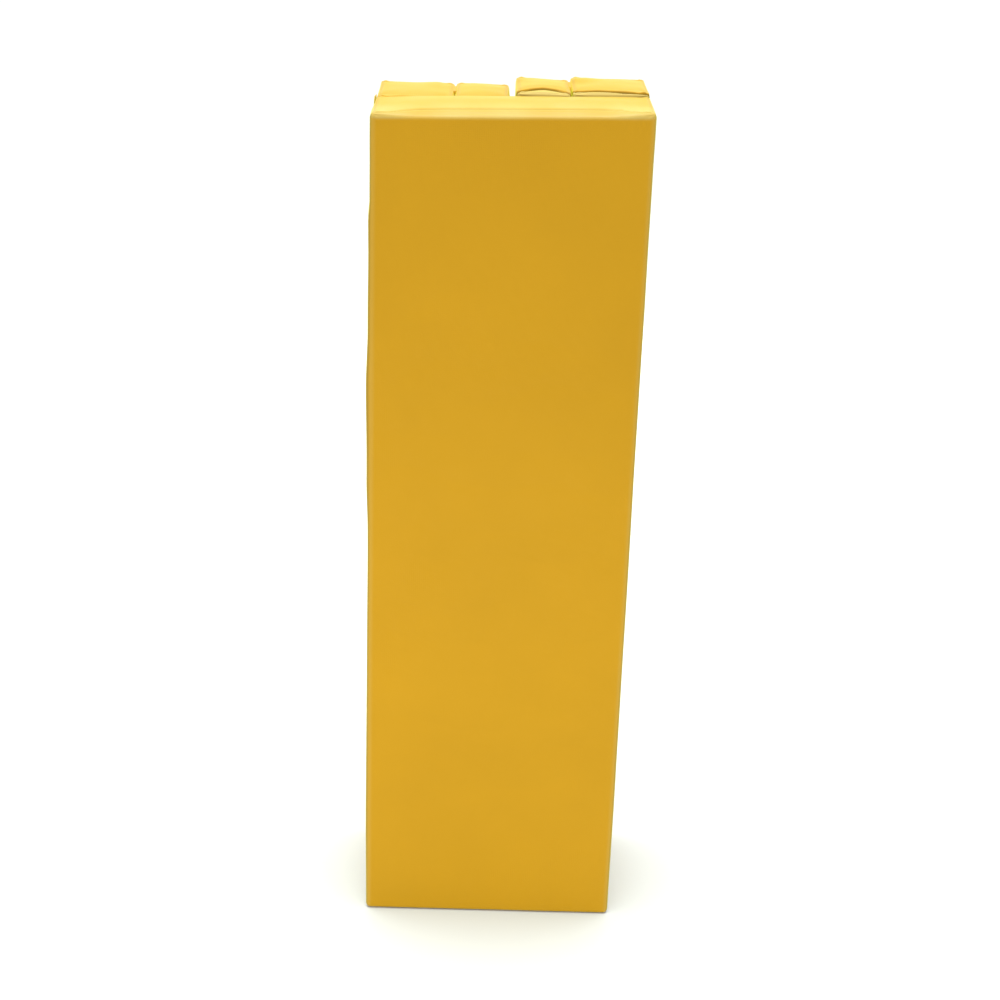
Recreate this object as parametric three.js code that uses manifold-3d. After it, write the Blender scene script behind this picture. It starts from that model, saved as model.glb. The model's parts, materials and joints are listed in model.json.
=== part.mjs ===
// Folding foam pad in a coated-fabric cover, stored closed and standing on one end.
//
// A full-width main panel stands at the front. Two flaps close behind it like a gate, and
// each flap is two narrower blocks joined along a channel. Every panel is a foam core in
// its own box cover: a sleeve round the long sides, a cap at each end, a zip in one wall,
// and an eyelet that lets air out when the foam is pressed.
//
// Frame, in millimetres: +Z up along the pad's length, origin on the floor under the middle
// of the closed pad, -Y towards the main panel's outer face, +Y towards the flaps' handles.

import * as THREE from "three";
import Module from "manifold-3d";
import { mergeVertices } from "three/addons/utils/BufferGeometryUtils.js";

const wasm = await Module();
wasm.setup();

// ---- Driving dimensions ----------------------------------------------------------------

const PAD_LENGTH = 1200;
const MAIN_WIDTH = 360;
const PANEL_THICKNESS = 110;
const OUTER_BLOCK_WIDTH = 100;
const CHANNEL_GAP = 5; // between the two blocks of one flap
const CENTRE_GAP = 8; // between the two flaps when closed
const LAYER_GAP = 4; // between the main panel and the closed flaps

const EDGE_RADIUS = 11; // the covers' long edges
const EDGE_STEPS = 5;
const COVER_THICKNESS = 1.5;
const FIT_GAP = 0.3; // between pieces that touch
const CORE_CLEARANCE = 3; // from cover to foam, which leaves room for the zip tape

const ZIP = { endMargin: 70, slotWidth: 9, tapeWidth: 18, tapeThickness: 0.9, chainWidth: 5 };
const SLIDER = { width: 9, length: 13, thickness: 2.2, startHeight: 14 };
const BAIL = { width: 2.6, length: 9, opening: 1.8, thickness: 1.1 };
const PULL = { width: 8, length: 24, thickness: 1.2, bar: 1.2, windowWidth: 4.6, windowLength: 6 };

const EYELET = { flange: 9, hole: 4.2, barrel: 6, height: 1.2, depth: 1.5, steps: 28 };
const EYELET_HEIGHT = 1100; // above the floor

const STRIP = { width: 40, length: 700, thickness: 1.2 };

const HANDLE = { width: 25, thickness: 2.4, standoff: 16, flat: 150, rise: 45, foot: 36 };
const HANDLE_CURVE_STEPS = 8; // along each rise of a handle
const PATCH = { width: 31, length: 44, thickness: 1.4 };

const WEB = { thickness: 1.5, reach: 17, bulge: 4.4, endMargin: 6, steps: 12 };
const CUT_REACH = 4; // how far a cutting tool reaches to each side of a wall

// ---- Places that follow from them ------------------------------------------------------

const HALF_WIDTH = MAIN_WIDTH / 2;
const DEPTH = 2 * PANEL_THICKNESS + LAYER_GAP + HANDLE.standoff;
const MAIN_BACK = PANEL_THICKNESS - DEPTH / 2;
const HINGE_Y = MAIN_BACK + LAYER_GAP / 2;
const FLAP_FRONT = MAIN_BACK + LAYER_GAP;
const MAIN_MIDDLE = MAIN_BACK - PANEL_THICKNESS / 2;
const FLAP_MIDDLE = FLAP_FRONT + PANEL_THICKNESS / 2;
const INNER_BLOCK_WIDTH = HALF_WIDTH - OUTER_BLOCK_WIDTH - CHANNEL_GAP - CENTRE_GAP / 2;
const OUTER_BLOCK_X = HALF_WIDTH - OUTER_BLOCK_WIDTH / 2;
const INNER_BLOCK_X = CENTRE_GAP / 2 + INNER_BLOCK_WIDTH / 2;
const CHANNEL_X = HALF_WIDTH - OUTER_BLOCK_WIDTH - CHANNEL_GAP / 2;
const MID_HEIGHT = PAD_LENGTH / 2;
const ZIP_LENGTH = PAD_LENGTH - 2 * ZIP.endMargin;

const MAIN_ZIP_OFFSET = 20; // from the middle of the side wall towards the flaps
const OUTER_ZIP_OFFSET = 22; // from the middle of the back wall towards the pad's side
const INNER_ZIP_OFFSET = 14.5; // from the middle of the back wall towards the channel
const INNER_HANDLE_OFFSET = 8; // from the middle of the back wall towards the centre gap

// ---- Materials -------------------------------------------------------------------------

const material = (color, roughness, metalness = 0) =>
  new THREE.MeshStandardMaterial({ color, roughness, metalness });

const COVER = material(0xe0a81c, 0.45);
const FOAM = material(0xe9e2c8, 0.95);
const ZIP_TAPE = material(0xc9921c, 0.85);
const METAL = material(0xb9bbbd, 0.3, 1);
const HOOK_LOOP = material(0xb98a22, 0.95);
const WEBBING = material(0xc58f1a, 0.8);

// ---- Shape helpers ---------------------------------------------------------------------

const pad = new THREE.Group();

function addMesh(name, geometry, finish, parent = pad) {
  const mesh = new THREE.Mesh(geometry, finish);
  mesh.name = name;
  parent.add(mesh);
  return mesh;
}

// A rectangle centred on the origin with rounded corners, as a THREE.Shape or THREE.Path.
function roundedRectangle(width, height, radius, Kind = THREE.Shape) {
  const x = width / 2 - radius;
  const y = height / 2 - radius;
  const outline = new Kind();
  outline.moveTo(-x, -y - radius);
  outline.lineTo(x, -y - radius);
  outline.absarc(x, -y, radius, -Math.PI / 2, 0);
  outline.lineTo(x + radius, y);
  outline.absarc(x, y, radius, 0, Math.PI / 2);
  outline.lineTo(-x, y + radius);
  outline.absarc(-x, y, radius, Math.PI / 2, Math.PI);
  outline.lineTo(-x - radius, -y);
  outline.absarc(-x, -y, radius, Math.PI, Math.PI * 1.5);
  return outline;
}

const extrude = (shape, depth) =>
  new THREE.ExtrudeGeometry(shape, { depth, bevelEnabled: false, curveSegments: EDGE_STEPS });

// A box from its lowest corner and its size.
const boxFrom = (x, y, z, sizeX, sizeY, sizeZ) =>
  new THREE.BoxGeometry(sizeX, sizeY, sizeZ).translate(
    x + sizeX / 2,
    y + sizeY / 2,
    z + sizeZ / 2,
  );

function toSolid(geometry) {
  const bare = geometry.clone();
  bare.deleteAttribute("normal");
  bare.deleteAttribute("uv");
  const merged = mergeVertices(bare, 1e-3);
  return new wasm.Manifold(
    new wasm.Mesh({
      numProp: 3,
      vertProperties: new Float32Array(merged.attributes.position.array),
      triVerts: new Uint32Array(merged.index.array),
    }),
  );
}

function toGeometry(solid) {
  const mesh = solid.getMesh();
  const geometry = new THREE.BufferGeometry();
  geometry.setAttribute("position", new THREE.BufferAttribute(mesh.vertProperties, 3));
  geometry.setIndex(new THREE.BufferAttribute(mesh.triVerts, 1));
  geometry.computeVertexNormals();
  return geometry;
}

const cut = (body, ...tools) =>
  toGeometry(tools.reduce((solid, tool) => solid.subtract(toSolid(tool)), toSolid(body)));

const join = (body, ...others) =>
  toGeometry(others.reduce((solid, other) => solid.add(toSolid(other)), toSolid(body)));

// ---- Walls -----------------------------------------------------------------------------
//
// Zips, eyelets and handles are drawn in a wall's own frame: its origin is on the wall's
// outer surface, +X points out of the pad, Y runs across the wall and Z runs up the pad.

const FACING = { right: 0, back: Math.PI / 2, left: Math.PI };

function addWall(panel, facing, width, offset) {
  const wall = new THREE.Group();
  const distance = facing === "back" ? PANEL_THICKNESS / 2 : width / 2;
  wall.rotation.z = FACING[facing];
  wall.position.set(distance, offset, 0).applyEuler(wall.rotation);
  wall.updateMatrix();
  panel.add(wall);
  return wall;
}

// ---- One panel: foam core, sleeve, caps, zip and eyelet --------------------------------

function addPanel({ name, width, x, y, zip, eyelet }) {
  const panel = new THREE.Group();
  panel.position.set(x, y, 0);
  pad.add(panel);
  const zipWall = addWall(panel, zip.facing, width, zip.offset);
  const eyeletWall = addWall(panel, eyelet.facing, width, eyelet.offset);

  const outline = roundedRectangle(width, PANEL_THICKNESS, EDGE_RADIUS);
  const topCap = extrude(outline, COVER_THICKNESS).translate(0, 0, PAD_LENGTH - COVER_THICKNESS);
  addMesh(`${name}_bottom_cap`, extrude(outline, COVER_THICKNESS), COVER, panel);
  addMesh(`${name}_top_cap`, topCap, COVER, panel);
  addMesh(`${name}_sleeve`, sleeveGeometry(width, zipWall, eyeletWall), COVER, panel);
  addMesh(`${name}_foam_core`, coreGeometry(width), FOAM, panel);
  addZip(name, zipWall);
  addEyelet(name, eyeletWall);
  return panel;
}

// The wrap round a panel's four long sides, open at both ends, with a slot for the zip's
// chain and a hole for the eyelet's barrel.
function sleeveGeometry(width, zipWall, eyeletWall) {
  const outline = roundedRectangle(width, PANEL_THICKNESS, EDGE_RADIUS);
  outline.holes.push(
    roundedRectangle(
      width - 2 * COVER_THICKNESS,
      PANEL_THICKNESS - 2 * COVER_THICKNESS,
      EDGE_RADIUS - COVER_THICKNESS,
      THREE.Path,
    ),
  );
  const capSpace = COVER_THICKNESS + FIT_GAP;
  const sleeve = extrude(outline, PAD_LENGTH - 2 * capSpace).translate(0, 0, capSpace);
  const slot = boxFrom(
    -CUT_REACH,
    -ZIP.slotWidth / 2,
    ZIP.endMargin,
    2 * CUT_REACH,
    ZIP.slotWidth,
    ZIP_LENGTH,
  ).applyMatrix4(zipWall.matrix);
  const radius = EYELET.barrel + FIT_GAP;
  const hole = new THREE.CylinderGeometry(radius, radius, 2 * CUT_REACH, EYELET.steps)
    .rotateZ(Math.PI / 2)
    .translate(0, 0, EYELET_HEIGHT)
    .applyMatrix4(eyeletWall.matrix);
  return cut(sleeve, slot, hole);
}

function coreGeometry(width) {
  const inset = COVER_THICKNESS + CORE_CLEARANCE;
  const outline = roundedRectangle(
    width - 2 * inset,
    PANEL_THICKNESS - 2 * inset,
    EDGE_RADIUS - inset,
  );
  return extrude(outline, PAD_LENGTH - 2 * inset).translate(0, 0, inset);
}

// The tape lies inside the wall and the chain stands in the slot, flush with the cover. The
// slider waits at the chain's bottom end, and its pull hangs from the bail.
function addZip(name, wall) {
  const tapeTop = -COVER_THICKNESS - FIT_GAP;
  const tape = boxFrom(
    tapeTop - ZIP.tapeThickness,
    -ZIP.tapeWidth / 2,
    ZIP.endMargin - 8,
    ZIP.tapeThickness,
    ZIP.tapeWidth,
    ZIP_LENGTH + 16,
  );
  const chain = boxFrom(
    tapeTop - ZIP.tapeThickness / 2,
    -ZIP.chainWidth / 2,
    ZIP.endMargin + 2,
    ZIP.tapeThickness / 2 - tapeTop,
    ZIP.chainWidth,
    ZIP_LENGTH - 4,
  );
  addMesh(`${name}_zip_chain`, join(tape, chain), ZIP_TAPE, wall);

  const middle = ZIP.endMargin + SLIDER.startHeight;
  const plateTop = FIT_GAP + SLIDER.thickness;
  const plate = boxFrom(
    FIT_GAP,
    -SLIDER.width / 2,
    middle - SLIDER.length / 2,
    SLIDER.thickness,
    SLIDER.width,
    SLIDER.length,
  );
  const bail = boxFrom(
    plateTop - SLIDER.thickness / 2,
    -BAIL.width / 2,
    middle - BAIL.length / 2,
    SLIDER.thickness / 2 + BAIL.opening + BAIL.thickness,
    BAIL.width,
    BAIL.length,
  );
  const bailOpening = boxFrom(
    plateTop,
    -BAIL.width,
    middle - BAIL.length / 2 + BAIL.thickness,
    BAIL.opening,
    2 * BAIL.width,
    BAIL.length - 2 * BAIL.thickness,
  );
  addMesh(`${name}_zip_slider`, cut(join(plate, bail), bailOpening), METAL, wall);

  // The pull's bar passes through the bail's opening, just above the bail's lower leg.
  const barBottom = middle - BAIL.length / 2 + BAIL.thickness + FIT_GAP;
  const pullTop = barBottom + PULL.bar;
  const pullInner = plateTop + (BAIL.opening - PULL.thickness) / 2;
  const pull = cut(
    boxFrom(
      pullInner,
      -PULL.width / 2,
      pullTop - PULL.length,
      PULL.thickness,
      PULL.width,
      PULL.length,
    ),
    boxFrom(
      pullInner - CUT_REACH,
      -PULL.windowWidth / 2,
      barBottom - PULL.windowLength,
      2 * CUT_REACH,
      PULL.windowWidth,
      PULL.windowLength,
    ),
  );
  addMesh(`${name}_zip_pull`, pull, METAL, wall);
}

// A flanged ring whose barrel passes through the wall.
function addEyelet(name, wall) {
  const profile = [
    [EYELET.hole, -EYELET.depth],
    [EYELET.barrel, -EYELET.depth],
    [EYELET.barrel, FIT_GAP],
    [EYELET.flange, FIT_GAP],
    [EYELET.flange, FIT_GAP + EYELET.height / 2],
    [EYELET.flange - 1, FIT_GAP + EYELET.height],
    [EYELET.hole, FIT_GAP + EYELET.height],
    [EYELET.hole, -EYELET.depth],
  ].map(([radius, along]) => new THREE.Vector2(radius, along));
  const ring = new THREE.LatheGeometry(profile, EYELET.steps)
    .rotateZ(-Math.PI / 2)
    .translate(0, 0, EYELET_HEIGHT);
  addMesh(`${name}_eyelet`, toGeometry(toSolid(ring)), METAL, wall);
}

// ---- Carry handle ----------------------------------------------------------------------

// A webbing strap that rises off a wall between two sewn feet, each on its own patch.
function addHandle(name, wall) {
  const footTop = HANDLE.flat / 2 + HANDLE.rise;
  const strapEnd = footTop + HANDLE.foot;
  const low = FIT_GAP + PATCH.thickness + FIT_GAP;
  const high = HANDLE.standoff - HANDLE.thickness;
  const upper = [[low, strapEnd]];
  for (let step = 0; step <= HANDLE_CURVE_STEPS; step += 1) {
    const t = step / HANDLE_CURVE_STEPS;
    const lift = (1 - Math.cos(Math.PI * t)) / 2;
    upper.push([low + (high - low) * lift, footTop - HANDLE.rise * t]);
  }
  const inner = [...upper, ...upper.map(([x, z]) => [x, -z]).reverse()];
  const outer = inner.map(([x, z]) => [x + HANDLE.thickness, z]).reverse();
  const outline = [...inner, ...outer].map(([x, z]) => new THREE.Vector2(x, MID_HEIGHT + z));
  const strap = extrude(new THREE.Shape(outline), HANDLE.width)
    .rotateX(Math.PI / 2)
    .translate(0, HANDLE.width / 2, 0);
  addMesh(`${name}_handle`, strap, WEBBING, wall);

  const patchMiddle = footTop + HANDLE.foot / 2;
  for (const [end, sign] of [["upper", 1], ["lower", -1]]) {
    const patch = boxFrom(
      FIT_GAP,
      -PATCH.width / 2,
      MID_HEIGHT + sign * patchMiddle - PATCH.length / 2,
      PATCH.thickness,
      PATCH.width,
      PATCH.length,
    );
    addMesh(`${name}_handle_${end}_patch`, patch, COVER, wall);
  }
}

// ---- Hinge web -------------------------------------------------------------------------

// A strip of cover fabric from the main panel's side to a flap's, bowed out at the hinge.
function hingeWebGeometry(sign) {
  const bowHalf = WEB.reach - 4;
  const inner = [];
  for (let step = 0; step <= WEB.steps; step += 1) {
    const y = -bowHalf + (2 * bowHalf * step) / WEB.steps;
    const bow = WEB.bulge * Math.cos((Math.PI * y) / (2 * bowHalf)) ** 2;
    inner.push([HALF_WIDTH + FIT_GAP + bow, y]);
  }
  inner.unshift([HALF_WIDTH + FIT_GAP, -WEB.reach]);
  inner.push([HALF_WIDTH + FIT_GAP, WEB.reach]);
  const outer = inner.map(([x, y]) => [x + WEB.thickness, y]).reverse();
  const outline = [...inner, ...outer].map(
    ([x, y]) => new THREE.Vector2(sign * x, HINGE_Y + y),
  );
  const length = PAD_LENGTH - 2 * WEB.endMargin;
  return extrude(new THREE.Shape(outline), length).translate(0, 0, WEB.endMargin);
}

// ---- Assembly --------------------------------------------------------------------------

addPanel({
  name: "main",
  width: MAIN_WIDTH,
  x: 0,
  y: MAIN_MIDDLE,
  zip: { facing: "right", offset: MAIN_ZIP_OFFSET },
  eyelet: { facing: "left", offset: 0 },
});

for (const [side, sign] of [["left", -1], ["right", 1]]) {
  addPanel({
    name: `${side}_outer`,
    width: OUTER_BLOCK_WIDTH,
    x: sign * OUTER_BLOCK_X,
    y: FLAP_MIDDLE,
    zip: { facing: "back", offset: -sign * OUTER_ZIP_OFFSET },
    eyelet: { facing: "back", offset: sign * OUTER_ZIP_OFFSET },
  });
  const inner = addPanel({
    name: `${side}_inner`,
    width: INNER_BLOCK_WIDTH,
    x: sign * INNER_BLOCK_X,
    y: FLAP_MIDDLE,
    zip: { facing: "back", offset: -sign * INNER_ZIP_OFFSET },
    eyelet: { facing: "back", offset: sign * INNER_HANDLE_OFFSET },
  });
  addHandle(side, addWall(inner, "back", INNER_BLOCK_WIDTH, sign * INNER_HANDLE_OFFSET));

  addMesh(`${side}_hinge_web`, hingeWebGeometry(sign), COVER);
  const channelWebWidth = CHANNEL_GAP - 2 * FIT_GAP;
  const channelWeb = boxFrom(
    sign * CHANNEL_X - channelWebWidth / 2,
    FLAP_MIDDLE - WEB.thickness / 2,
    WEB.endMargin,
    channelWebWidth,
    WEB.thickness,
    PAD_LENGTH - 2 * WEB.endMargin,
  );
  addMesh(`${side}_channel_web`, channelWeb, COVER);

  const stripX = sign * INNER_BLOCK_X - STRIP.width / 2;
  const stripZ = MID_HEIGHT - STRIP.length / 2;
  const stripBox = (y) =>
    boxFrom(stripX, y, stripZ, STRIP.width, STRIP.thickness, STRIP.length);
  addMesh(`${side}_hook_strip`, stripBox(MAIN_BACK + FIT_GAP), HOOK_LOOP);
  addMesh(`${side}_loop_strip`, stripBox(FLAP_FRONT - FIT_GAP - STRIP.thickness), HOOK_LOOP);
}

export default pad;
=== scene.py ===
"""Looks of a folding foam sleeping pad, stored closed and standing on one end.

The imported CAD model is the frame. Every cover is a structured shell over its CAD box: it is
rounded, swelled by a cloth simulation on a coarse copy, then given its crown, seams and
puckers. Foam blocks are rounded boxes. Zips, eyelets, handles, hook-and-loop strips and the
cloth across the folds are lofted. All lengths are metres, in the CAD model's own frame.
"""

import json
import math
from functools import partial

import bmesh
import bpy
import numpy as np
from mathutils import Matrix, Vector, noise

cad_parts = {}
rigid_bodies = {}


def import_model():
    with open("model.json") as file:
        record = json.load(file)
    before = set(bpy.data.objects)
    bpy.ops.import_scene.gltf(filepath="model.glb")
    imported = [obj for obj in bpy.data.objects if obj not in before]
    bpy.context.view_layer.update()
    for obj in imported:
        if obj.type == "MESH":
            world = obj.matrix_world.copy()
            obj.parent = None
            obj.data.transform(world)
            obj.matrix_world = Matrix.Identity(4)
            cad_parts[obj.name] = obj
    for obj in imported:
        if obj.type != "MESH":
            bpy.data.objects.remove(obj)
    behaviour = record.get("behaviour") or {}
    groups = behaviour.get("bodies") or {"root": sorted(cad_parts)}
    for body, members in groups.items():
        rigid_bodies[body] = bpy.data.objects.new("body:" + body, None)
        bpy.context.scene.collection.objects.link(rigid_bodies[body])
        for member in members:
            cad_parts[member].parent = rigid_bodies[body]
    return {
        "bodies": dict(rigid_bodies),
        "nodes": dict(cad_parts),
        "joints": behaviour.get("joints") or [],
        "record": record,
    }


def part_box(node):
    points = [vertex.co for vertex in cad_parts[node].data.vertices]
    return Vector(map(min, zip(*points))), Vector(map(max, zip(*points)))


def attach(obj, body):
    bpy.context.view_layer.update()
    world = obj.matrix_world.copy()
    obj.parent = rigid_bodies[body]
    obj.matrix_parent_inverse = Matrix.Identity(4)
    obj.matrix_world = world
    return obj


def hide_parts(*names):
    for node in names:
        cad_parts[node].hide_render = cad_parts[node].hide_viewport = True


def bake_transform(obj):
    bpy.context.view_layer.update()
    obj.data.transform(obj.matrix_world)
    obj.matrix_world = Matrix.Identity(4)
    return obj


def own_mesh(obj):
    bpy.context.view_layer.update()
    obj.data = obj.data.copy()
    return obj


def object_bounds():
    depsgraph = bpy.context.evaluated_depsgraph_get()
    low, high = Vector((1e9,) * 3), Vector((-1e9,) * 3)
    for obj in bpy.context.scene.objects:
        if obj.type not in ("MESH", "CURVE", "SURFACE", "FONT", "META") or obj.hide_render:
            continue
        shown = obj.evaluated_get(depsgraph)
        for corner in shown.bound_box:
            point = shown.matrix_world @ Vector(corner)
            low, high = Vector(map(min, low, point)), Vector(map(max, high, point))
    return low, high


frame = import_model()
CAD_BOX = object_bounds()
CAD_TOP = CAD_BOX[1][2]

MM = 0.001

# ---- Camera ----

CAMERA_PLACE = Vector((-0.0316, -2.542, 1.694))
CAMERA_YAW = -0.0127  # radians, counterclockwise seen from above
CAMERA_PITCH = 0.3996  # radians below the horizon
CAMERA_ROLL = 0.0336  # radians
CAMERA_LENS = 69.2  # mm on a 36 mm sensor


def add_camera():
    turn = Matrix.Rotation(CAMERA_YAW, 3, "Z")
    forward = turn @ Vector((0, math.cos(CAMERA_PITCH), -math.sin(CAMERA_PITCH)))
    level = turn @ Vector((1, 0, 0))
    upright = level.cross(forward)
    right = math.cos(CAMERA_ROLL) * level + math.sin(CAMERA_ROLL) * upright
    up = math.cos(CAMERA_ROLL) * upright - math.sin(CAMERA_ROLL) * level
    data = bpy.data.cameras.new("camera")
    data.sensor_width = 36
    data.lens = CAMERA_LENS
    camera = bpy.data.objects.new("camera", data)
    axes = Matrix((right, up, -forward)).transposed()
    camera.matrix_world = Matrix.Translation(CAMERA_PLACE) @ axes.to_4x4()
    bpy.context.scene.collection.objects.link(camera)
    bpy.context.scene.camera = camera


add_camera()

# ---- Small helpers ----


def smoothstep(value, low, high):
    t = np.clip((value - low) / (high - low), 0, 1)
    return t * t * (3 - 2 * t)


def add_piece(name, vertices, faces, material, smooth=True):
    mesh = bpy.data.meshes.new(name)
    mesh.from_pydata([tuple(v) for v in vertices], [], [tuple(f) for f in faces])
    mesh.materials.append(material)
    mesh.polygons.foreach_set("use_smooth", [smooth] * len(mesh.polygons))
    mesh.update()
    piece = bpy.data.objects.new(name, mesh)
    bpy.context.scene.collection.objects.link(piece)
    return piece


# ---- Box shells ----
#
# A shell is a grid on the six faces of a box. Its grid lines are close together at the
# edges, where the seams and folds are.


def edge_lines(length, fine, growth, coarse):
    steps = []
    step = fine
    while step < coarse and sum(steps) + step < length / 2:
        steps.append(step)
        step *= growth
    near = np.concatenate([[0.0], np.cumsum(steps)])
    count = max(1, round((length - 2 * near[-1]) / coarse))
    middle = np.linspace(near[-1], length - near[-1], count + 1)
    return np.concatenate([near[:-1], middle, (length - near[:-1])[::-1]])


def shell_grid(lines):
    """(points on the box, grid indexes of each point, quads facing outward)."""
    shape = [len(x) for x in lines]
    index = np.stack(np.meshgrid(*[np.arange(n) for n in shape], indexing="ij"), -1)
    on_face = np.zeros(shape, bool)
    for axis, count in enumerate(shape):
        on_face |= (index[..., axis] == 0) | (index[..., axis] == count - 1)
    ids = np.full(shape, -1)
    ids[on_face] = np.arange(on_face.sum())
    cells = index[on_face]
    points = np.stack([lines[axis][cells[:, axis]] for axis in range(3)], 1)
    quads = []
    for axis in range(3):
        for end in (0, -1):
            sheet = np.take(ids, end, axis=axis)
            corners = (sheet[:-1, :-1], sheet[1:, :-1], sheet[1:, 1:], sheet[:-1, 1:])
            ring = np.stack(corners, -1).reshape(-1, 4)
            outward = (end == -1) == (axis != 1)
            quads.append(ring if outward else ring[:, ::-1])
    return points, cells, np.concatenate(quads)


def round_box(points, size, radii):
    """(rounded points, outward normals); radii is one row for all points, or one each."""
    inner = np.clip(points, radii, size - radii)
    reach = (points - inner) / radii
    reach /= np.maximum(np.linalg.norm(reach, axis=1, keepdims=True), 1e-9)
    normals = reach / radii
    normals /= np.maximum(np.linalg.norm(normals, axis=1, keepdims=True), 1e-9)
    return inner + reach * radii, normals


def cubic_weights(targets, sources):
    """Rows that interpolate values at sources to targets, smoothly (Catmull-Rom)."""
    weights = np.zeros((len(targets), len(sources)))
    last = len(sources) - 1
    for row, target in enumerate(targets):
        left = min(max(np.searchsorted(sources, target, "right") - 1, 0), last - 1)
        width = sources[left + 1] - sources[left]
        t = (target - sources[left]) / width
        parts = (
            (max(left - 1, 0), -0.5 * t**3 + t**2 - 0.5 * t),
            (left, 1.5 * t**3 - 2.5 * t**2 + 1),
            (left + 1, -1.5 * t**3 + 2 * t**2 + 0.5 * t),
            (min(left + 2, last), 0.5 * t**3 - 0.5 * t**2),
        )
        for column, weight in parts:
            weights[row, column] += weight
    return weights


def carry_over(values, coarse_cells, coarse_lines, fine_cells, fine_lines):
    """Values on a coarse shell, read at the points of a fine shell of the same box."""
    dense = np.zeros([len(x) for x in coarse_lines] + [3])
    dense[tuple(coarse_cells.T)] = values
    weights = [cubic_weights(f, c) for f, c in zip(fine_lines, coarse_lines)]
    result = np.zeros((len(fine_cells), 3))
    for axis in range(3):
        others = [a for a in range(3) if a != axis]
        for end in (0, -1):
            sheet = np.take(dense, end, axis=axis)
            fine = np.einsum(
                "ia,jb,abk->ijk", weights[others[0]], weights[others[1]], sheet, optimize=True
            )
            mine = fine_cells[:, axis] == (0 if end == 0 else len(fine_lines[axis]) - 1)
            result[mine] = fine[fine_cells[mine, others[0]], fine_cells[mine, others[1]]]
    return result


# ---- Cloth ----

CLOTH_STEP = 12 * MM
CLOTH_EDGE_STEP = 6 * MM
CLOTH_FRAMES = 20
CLOTH_SLACK = 0.012  # how much larger the cover is cut than its foam
CLOTH_PRESSURE = 4
CLOTH_HOLD = 0.25  # how firmly the foam holds the cloth in place


def inflate(vertices, faces):
    """How far each vertex of a slightly loose cover moves when its foam fills it."""
    cover = add_piece("cloth_trial", vertices, faces, None)
    hold = cover.vertex_groups.new(name="foam")
    hold.add(list(range(len(vertices))), CLOTH_HOLD, "REPLACE")
    cloth = cover.modifiers.new("cloth", "CLOTH")
    settings = cloth.settings
    settings.quality = 5
    settings.mass = 0.3
    settings.tension_stiffness = 30
    settings.compression_stiffness = 30
    settings.shear_stiffness = 10
    settings.bending_stiffness = 2
    settings.use_pressure = True
    settings.uniform_pressure_force = CLOTH_PRESSURE
    settings.shrink_min = -CLOTH_SLACK
    settings.effector_weights.gravity = 0
    settings.vertex_group_mass = "foam"
    settings.pin_stiffness = 1
    cloth.collision_settings.use_collision = False
    cloth.point_cache.frame_end = CLOTH_FRAMES
    for number in range(1, CLOTH_FRAMES + 1):
        bpy.context.scene.frame_set(number)
    result = cover.evaluated_get(bpy.context.evaluated_depsgraph_get()).data
    moved = np.empty(len(vertices) * 3)
    result.vertices.foreach_get("co", moved)
    bpy.context.scene.frame_set(1)
    mesh = cover.data
    bpy.data.objects.remove(cover)
    bpy.data.meshes.remove(mesh)
    return moved.reshape(-1, 3) - vertices


# ---- Covers ----

FACES = {
    "left": (0, -1),
    "right": (0, 1),
    "front": (1, -1),
    "back": (1, 1),
    "bottom": (2, -1),
    "top": (2, 1),
}
FACE_PAIRS = (("left", "right"), ("front", "back"), ("bottom", "top"))
FINE_STEP = 0.9 * MM
FINE_GROWTH = 1.12
COARSE_STEP = 7 * MM
EDGE_RADIUS = 6 * MM
CROWN_REACH = 0.11  # how far in from an edge a long wall has risen to its full crown
EDGE_HIGHLIGHT = 0.25  # strength of the painted highlight down the upright edges
END_SEAM_PLACE = 0.8  # of the edge radius in from the edge, on an end cap
END_SEAM_WIDTH = 1.3 * MM
END_SEAM_DEPTH = 1.1 * MM
END_SEAM_SHADE = 0.3
SIDE_SEAM_PLACE = 0.6  # of the edge radius in from the edge, on a side wall
SIDE_SEAM_WIDTH = 2.0 * MM
SIDE_SEAM_DEPTH = 0.3 * MM
SIDE_SEAM_SHADE = 0.5
PUCKER_DEPTH = 0.45 * MM
PUCKER_REACH = 16 * MM
RIPPLE_DEPTH = 0.5 * MM
RIPPLE_LENGTH = 0.13  # of the slow waves over every face


def face_shares(normals):
    """How much each face of the box counts at each point."""
    return {n: np.maximum(normals[:, a] * s, 0) ** 2 for n, (a, s) in FACES.items()}


def crown_profile(points, size, axis):
    """From 0 at the edges of a face to 1 where its crown is full."""
    profile = np.ones(len(points))
    for other in range(3):
        if other != axis:
            edge = np.minimum(points[:, other], size[other] - points[:, other])
            reach = min(CROWN_REACH, size[other] / 2)
            profile *= np.sin(np.clip(edge / reach, 0, 1) * math.pi / 2)
    return profile


def ripples(places):
    """Slow waves over a surface, from -1 to 1."""
    return np.array([noise.noise(Vector(p) / RIPPLE_LENGTH) for p in places])


def calmness(places, zones):
    """0 on the fittings' places, where the cover lies flat, and 1 away from them."""
    result = np.ones(len(places))
    for low, high in zones:
        outside = np.maximum(np.maximum(np.array(low) - places, places - np.array(high)), 0)
        result *= smoothstep(np.linalg.norm(outside, axis=1), 2 * MM, 22 * MM)
    return result


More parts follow.
